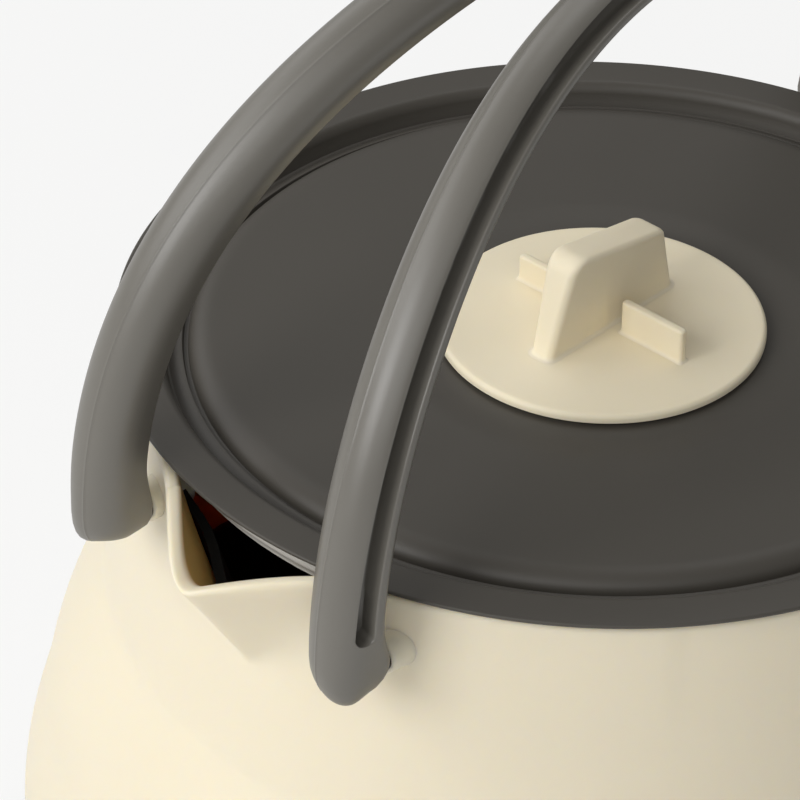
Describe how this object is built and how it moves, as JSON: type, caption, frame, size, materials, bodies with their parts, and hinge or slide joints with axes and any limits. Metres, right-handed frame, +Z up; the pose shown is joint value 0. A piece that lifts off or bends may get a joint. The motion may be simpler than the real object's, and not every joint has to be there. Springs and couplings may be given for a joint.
{
  "type": "collapsible kettle",
  "caption": "Round camping kettle with a soft folding body on a flat metal pan, a V-shaped pouring lip, a flat lift-off lid with a finned knob, and two arched bails that fold outwards.",
  "frame": {"origin": "the middle of the body's axis, on the flat underside of the pan's foot ring", "axes": "+Z up along the body's axis; the spout points along -Y; the bails' hinge axes run parallel to Y"},
  "size_m": [0.1576, 0.1576, 0.1633],
  "materials": {
    "body_silicone": "matt, slightly translucent cream silicone",
    "lid_plastic": "fine matt charcoal plastic",
    "bail_plastic": "satin grey plastic with a moulding seam",
    "knob_silicone": "matt cream silicone",
    "seal_silicone": "matt grey silicone",
    "ring_plastic": "satin black plastic",
    "pan_aluminium": "hard anodised, dull",
    "band_steel": "brushed",
    "pin_steel": "drawn, bright"
  },
  "bodies": {
    "base": {"base_pan": "pan_aluminium", "base_band": "band_steel", "lower_wall": "body_silicone", "shoulder_wall": "body_silicone"},
    "upper": {"neck_wall": "body_silicone", "rim_ring": "ring_plastic", "pin_right_front": "pin_steel", "pin_right_back": "pin_steel", "pin_left_front": "pin_steel", "pin_left_back": "pin_steel"},
    "lid": {"lid_shell": "lid_plastic", "lid_seal": "seal_silicone", "lid_insert": "knob_silicone"},
    "right_bail": {"bail_right": "bail_plastic"},
    "left_bail": {"bail_left": "bail_plastic"}
  },
  "joints": [
    {"name": "collapse", "type": "slide", "parent": "base", "child": "upper", "axis": [0, 0, 1], "range_m": [-0.045, 0], "deforming": ["shoulder_wall"]},
    {"name": "lid_lift", "type": "slide", "parent": "upper", "child": "lid", "axis": [0, 0, 1], "range_m": [0, 0.01]},
    {"name": "bail_right_fold", "type": "hinge", "parent": "upper", "child": "right_bail", "pos_m": [0.0218, 0, 0.0889], "axis": [0, 1, 0], "range_deg": [-3.3, 97]},
    {"name": "bail_left_fold", "type": "hinge", "parent": "upper", "child": "left_bail", "pos_m": [-0.0218, 0, 0.0889], "axis": [0, -1, 0], "range_deg": [-3.3, 97]}
  ]
}
